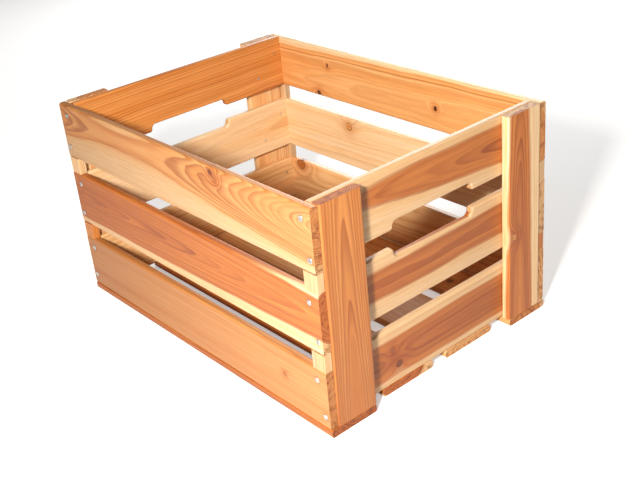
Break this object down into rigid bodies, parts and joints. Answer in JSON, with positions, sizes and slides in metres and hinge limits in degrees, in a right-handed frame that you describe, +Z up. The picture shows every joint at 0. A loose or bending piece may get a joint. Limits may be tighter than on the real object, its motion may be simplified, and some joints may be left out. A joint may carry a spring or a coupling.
{
  "type": "wooden crate",
  "caption": "Open-topped slatted wooden crate with outside corner posts, a slatted floor and a finger hold cut between the boards of each short end.",
  "frame": {"origin": "middle of the footprint, on the surface that the floor boards rest on", "axes": "+X along the long side boards towards the right end, +Y across the crate from the front side to the rear side, +Z up"},
  "size_m": [0.503, 0.367, 0.279],
  "materials": {
    "wood_side": "planed softwood with orange heartwood and cream sapwood bands, thin clear satin coat",
    "wood_end": "planed softwood with orange heartwood and cream sapwood bands, thin clear satin coat",
    "wood_post": "planed softwood, mostly brown heartwood, thin clear satin coat",
    "wood_spacer": "sawn and sanded softwood offcut, thin clear satin coat",
    "wood_floor": "planed softwood, thin clear satin coat",
    "nail_steel": "bright steel nail with a flat head"
  },
  "bodies": {
    "root": {"front_side_top": "wood_side", "front_side_middle": "wood_side", "front_side_bottom": "wood_side", "rear_side_top": "wood_side", "rear_side_middle": "wood_side", "rear_side_bottom": "wood_side", "left_end_top": "wood_end", "left_end_middle": "wood_end", "left_end_bottom": "wood_end", "right_end_top": "wood_end", "right_end_middle": "wood_end", "right_end_bottom": "wood_end", "post_front_left": "wood_post", "post_front_right": "wood_post", "post_rear_left": "wood_post", "post_rear_right": "wood_post", "spacer_front_left_lower": "wood_spacer", "spacer_front_left_upper": "wood_spacer", "spacer_front_right_lower": "wood_spacer", "spacer_front_right_upper": "wood_spacer", "spacer_rear_left_lower": "wood_spacer", "spacer_rear_left_upper": "wood_spacer", "spacer_rear_right_lower": "wood_spacer", "spacer_rear_right_upper": "wood_spacer", "floor_front": "wood_floor", "floor_middle_front": "wood_floor", "floor_middle_rear": "wood_floor", "floor_rear": "wood_floor", "front_side_nails": "nail_steel", "rear_side_nails": "nail_steel", "left_end_nails": "nail_steel", "right_end_nails": "nail_steel", "floor_nails": "nail_steel"}
  },
  "joints": []
}
